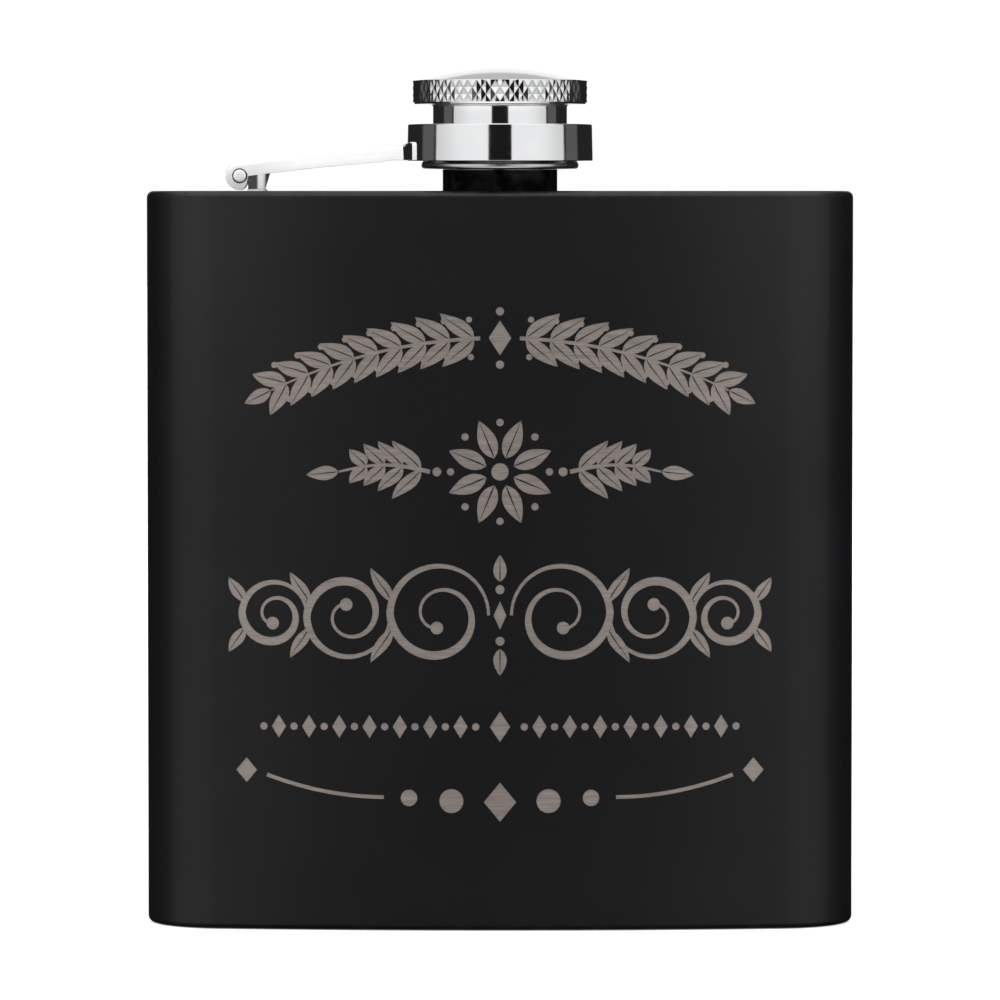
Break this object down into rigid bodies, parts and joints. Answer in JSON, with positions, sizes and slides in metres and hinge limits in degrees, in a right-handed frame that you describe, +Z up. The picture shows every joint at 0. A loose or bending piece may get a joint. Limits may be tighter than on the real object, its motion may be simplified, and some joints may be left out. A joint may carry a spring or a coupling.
{
  "type": "hip flask",
  "caption": "Curved hip flask with a matte black body and a polished, knurled screw cap on a captive ring and hinged arm.",
  "frame": {"origin": "middle of the flat base, straight below the neck's axis", "axes": "+Z up along the neck and cap, -Y out of the wide bulging front, -X towards the captive arm's hinge"},
  "size_m": [0.094, 0.026, 0.1137],
  "materials": {
    "black_coat": "fine matte powder coat",
    "polished_steel": "mirror polished",
    "bare_steel": "machined",
    "seal_plastic": "moulded"
  },
  "bodies": {
    "flask": {"body_shell": "black_coat", "top_plate": "black_coat", "base_plate": "black_coat", "neck": "black_coat", "hinge_bracket": "polished_steel", "hinge_pin": "polished_steel"},
    "captive": {"captive_arm": "polished_steel", "captive_ring": "polished_steel"},
    "seal": {"cap_seal": "seal_plastic"},
    "cap": {"cap_head": "polished_steel", "thread_insert": "bare_steel"}
  },
  "joints": [
    {"name": "arm_swing", "type": "hinge", "parent": "flask", "child": "captive", "pos_m": [-0.03444, 0, 0.09947], "axis": [0, -1, 0], "range_deg": [0, 170]},
    {"name": "cap_lift", "type": "slide", "parent": "captive", "child": "seal", "axis": [0, 0, 1], "range_m": [0, 0.0039]},
    {"name": "cap_turn", "type": "hinge", "parent": "seal", "child": "cap", "pos_m": [0, 0, 0.1], "axis": [0, 0, 1], "range_deg": [0, 1080]}
  ],
  "couplings": [
    {"joint": "cap_lift", "follows": "cap_turn", "m_per_rad": 0.0002069}
  ]
}
